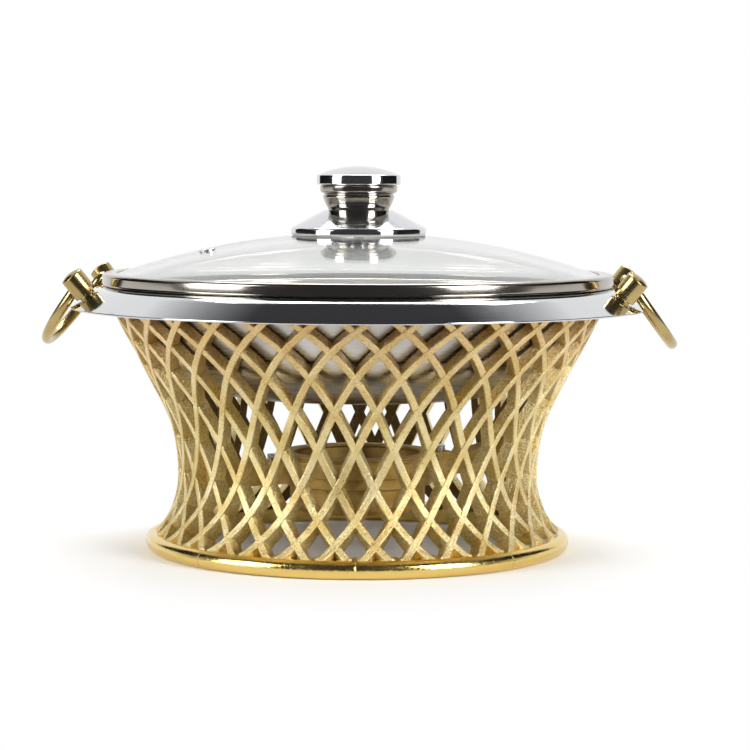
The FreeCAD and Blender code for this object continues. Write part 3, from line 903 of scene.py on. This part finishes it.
# %% Bails
hinges = {j["name"]: j for j in frame["record"]["behaviour"]["joints"]}
rod_r = 2.75
pivot_up = 8.5  # from the post's foot to the rod
bail_gap = 1.35  # between the rod and the post's side
bail_straight = 6.0
bail_bend = 4.05
pin_past = 2.0  # the rod's ends reach this far past the posts' middle
bail_rest = math.radians(54.18)
pivot_x = hinges["right_bail_swing"]["pos_m"][0] / MM
pivot_z = hinges["right_bail_swing"]["pos_m"][2] / MM
pivot_y = (post_at + pivot_up * math.sin(slope)) * math.sin(math.radians(post_angle))
bail_half = pivot_y - post_r - bail_gap - rod_r
bail_reach = bail_straight + bail_half
bail_line = [
    (0, pivot_y + pin_past),
    (0, bail_half, bail_bend),
    (bail_reach, bail_half, bail_half),
    (bail_reach, -bail_half, bail_half),
    (0, -bail_half, bail_bend),
    (0, -pivot_y - pin_past),
]
for body, side in (("right_bail", 1), ("left_bail", -1)):
    curve = bpy.data.curves.new(body, "CURVE")
    curve.dimensions = "3D"
    curve.bevel_depth = rod_r * MM
    curve.bevel_resolution = 7
    curve.use_fill_caps = True
    path = rounded(bail_line, closed=False, step=4)
    spline = curve.splines.new("POLY")
    spline.points.add(len(path) - 1)
    for point, spot in zip(spline.points, path):
        x = side * (pivot_x + spot.x * math.cos(bail_rest))
        z = pivot_z - spot.x * math.sin(bail_rest)
        point.co = (x * MM, spot.y * MM, z * MM, 1)
    drawn = bpy.data.objects.new(body, curve)
    bpy.context.scene.collection.objects.link(drawn)
    depsgraph = bpy.context.evaluated_depsgraph_get()
    rod_mesh = bpy.data.meshes.new_from_object(drawn.evaluated_get(depsgraph))
    bpy.data.objects.remove(drawn)
    rod_mesh.materials.clear()
    bail = to_object(f"{body}_rod", rod_mesh, satin_brass)
    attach(bail, body)
    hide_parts(body)
    print(f"{body}: {len(bail.data.polygons)} faces")

# %% [markdown]
# ## Pieces that stay as they came
#
# The burner, the hidden ring under the flange, the screws and the seals are plain shapes that the CAD model
# already has right. They only get their finishes.

# %% Finishes for the CAD pieces
kept = {
    "top_ring": dull_gold,
    "burner_ring": dull_gold,
    "burner_arm_1": dull_gold,
    "burner_arm_2": dull_gold,
    "burner_cup": dull_gold,
    "burner_collar": dull_gold,
    "holder_screws": screw_steel,
    "post_screws": screw_steel,
    "knob_screw": screw_steel,
    "vent_grommet": screw_steel,
    "post_washers": silicone,
    "lid_washer": silicone,
    "knob_gasket": silicone,
}
for node, material in kept.items():
    mesh = frame["nodes"][node].data
    mesh.materials.clear()
    mesh.materials.append(material)
print("finished CAD pieces:", len(kept))

# %% [markdown]
# ## Studio
#
# A pale floor that is white to the camera but still takes the shadow, a room that steel mirrors as white
# behind the dish and dark in front and high up, one lamp high up behind and two upright ones in front. Two
# dark cards stand left and right, so that knob and band find dark edges in them.

# %% Floor
floor_mesh = bpy.data.meshes.new("floor")
paper_front = -0.28  # the paper ends close before the dish, so that steel mirrors the dark room there
floor_corners = [(-4, paper_front, 0), (4, paper_front, 0), (4, 4, 0), (-4, 4, 0)]
floor_mesh.from_pydata(floor_corners, [], [(0, 1, 2, 3)])
floor = bpy.data.objects.new("floor", floor_mesh)
bpy.context.scene.collection.objects.link(floor)
paper, tree, shader = start_finish("white_paper_floor", Roughness=0.9)
shader.inputs["Base Color"].default_value = linear("#F4F3F1")
shader.inputs["Specular IOR Level"].default_value = 0.1
rays = add(tree, "ShaderNodeLightPath").outputs
spot = add(tree, "ShaderNodeTexCoord").outputs["Object"]
away = add(tree, "ShaderNodeVectorMath", {0: spot}, operation="LENGTH")
open_floor = add(
    tree,
    "ShaderNodeMapRange",
    {"Value": away.outputs["Value"], "From Min": base_r * MM, "From Max": base_r * MM * 1.8},
)
straight = add(
    tree, "ShaderNodeMath", {0: rays["Is Camera Ray"], 1: rays["Is Transmission Ray"]}, operation="MAXIMUM"
)
shown = add(
    tree, "ShaderNodeMath", {0: straight.outputs[0], 1: rays["Is Glossy Ray"]}, operation="MAXIMUM"
)
whiten = add(tree, "ShaderNodeMath", {0: shown.outputs[0], 1: open_floor.outputs[0]}, operation="MULTIPLY")
glow = add(tree, "ShaderNodeEmission", {"Color": (1, 1, 1, 1), "Strength": 1.0})
seen = add(
    tree, "ShaderNodeMixShader", {"Fac": whiten.outputs[0], 1: shader.outputs[0], 2: glow.outputs[0]}
)
tree.links.new(seen.outputs[0], tree.nodes["Material Output"].inputs["Surface"])
floor_mesh.materials.append(paper)

# %% Room
world = bpy.data.worlds.new("white_room")
bpy.context.scene.world = world
world.use_nodes = True
tree = world.node_tree
tree.nodes.clear()
rays = add(tree, "ShaderNodeLightPath").outputs
white = add(tree, "ShaderNodeBackground", {"Color": (1, 1, 1, 1), "Strength": 1.0})
fill = add(tree, "ShaderNodeBackground", {"Color": linear("#F2F4F6"), "Strength": 0.45})
way = add(tree, "ShaderNodeTexCoord").outputs["Generated"]
x, y, z = add(tree, "ShaderNodeSeparateXYZ", {0: way}).outputs
behind = add(tree, "ShaderNodeMapRange", {"Value": y, "From Min": -0.25, "From Max": 0.45})
below = add(tree, "ShaderNodeMapRange", {"Value": z, "From Min": 0.92, "From Max": 0.65})
pale = add(tree, "ShaderNodeMath", {0: behind.outputs[0], 1: below.outputs[0]}, operation="MULTIPLY")
grey = add(
    tree,
    "ShaderNodeMix",
    {"Factor": pale.outputs[0], "A": linear("#3E3D40"), "B": (1, 1, 1, 1)},
    data_type="RGBA",
)
mirrored = add(tree, "ShaderNodeBackground", {"Color": grey.outputs["Result"], "Strength": 1.0})
straight = add(
    tree, "ShaderNodeMath", {0: rays["Is Camera Ray"], 1: rays["Is Transmission Ray"]}, operation="MAXIMUM"
)
indirect = add(
    tree, "ShaderNodeMixShader", {"Fac": rays["Is Glossy Ray"], 1: fill.outputs[0], 2: mirrored.outputs[0]}
)
sky = add(
    tree, "ShaderNodeMixShader", {"Fac": straight.outputs[0], 1: indirect.outputs[0], 2: white.outputs[0]}
)
add(tree, "ShaderNodeOutputWorld", {"Surface": sky.outputs[0]})

# %% Dark cards
card_mesh = bpy.data.meshes.new("dark_card")
card_corners = [(0, -0.2, 0.15), (0, 0.45, 0.15), (0, 0.45, 0.55), (0, -0.2, 0.55)]
card_mesh.from_pydata(card_corners, [], [(0, 1, 2, 3)])
felt, tree, shader = start_finish("black_felt_card", Roughness=1.0)
shader.inputs["Base Color"].default_value = linear("#161616")
shader.inputs["Specular IOR Level"].default_value = 0.0
card_mesh.materials.append(felt)
for side in (-1, 1):
    card = bpy.data.objects.new("dark_card", card_mesh)
    card.location.x = 0.55 * side
    card.visible_camera = False
    card.visible_diffuse = False
    card.visible_transmission = False
    card.visible_shadow = False
    bpy.context.scene.collection.objects.link(card)

# %% Lamps
for name, place, size, power in (
    ("high_behind", (0.0, 0.62, 1.2), (1.1, 0.36), 14),
    ("left_front", (-1.3, -0.75, 0.6), (0.8, 1.1), 21),
    ("right_front", (1.1, -0.85, 0.6), (0.55, 1.0), 21),
):
    lamp = bpy.data.lights.new(name, "AREA")
    lamp.shape = "RECTANGLE"
    lamp.size, lamp.size_y = size
    lamp.energy = power
    holder = bpy.data.objects.new(name, lamp)
    holder.location = place
    holder.rotation_euler = (Vector((0, 0, 0.1)) - Vector(place)).to_track_quat("-Z", "Y").to_euler()
    bpy.context.scene.collection.objects.link(holder)
bpy.context.scene.view_settings.view_transform = "Standard"

# %% [markdown]
# ## Camera
#
# The picture was taken from about 1.27 m, a little above the knob, with a long lens and the handles almost
# square to the view. The camera looks slightly down, and is rolled a quarter of a degree, as in the picture.

# %% Camera
far = 1.2703
eye_h = 0.19657
turn = math.radians(3.5)
dip = math.radians(4.778)
roll = math.radians(0.26)
shift = 0.0089  # the picture's middle lies this far right of the dish's axis
eye = Vector((math.sin(turn), -math.cos(turn), 0)) * far + Vector((0, 0, eye_h))
side_step = Vector((math.cos(turn), math.sin(turn), 0)) * shift
aim = side_step + Vector((0, 0, eye_h - far * math.tan(dip)))
view = bpy.data.cameras.new("long_lens")
view.sensor_width = 36.0
view.lens = 116.9
camera = bpy.data.objects.new("camera", view)
bpy.context.scene.collection.objects.link(camera)
camera.location = eye
look = (aim - eye).to_track_quat("-Z", "Y").to_matrix()
camera.rotation_euler = (look @ Matrix.Rotation(roll, 3, "Z")).to_euler()
bpy.context.scene.camera = camera
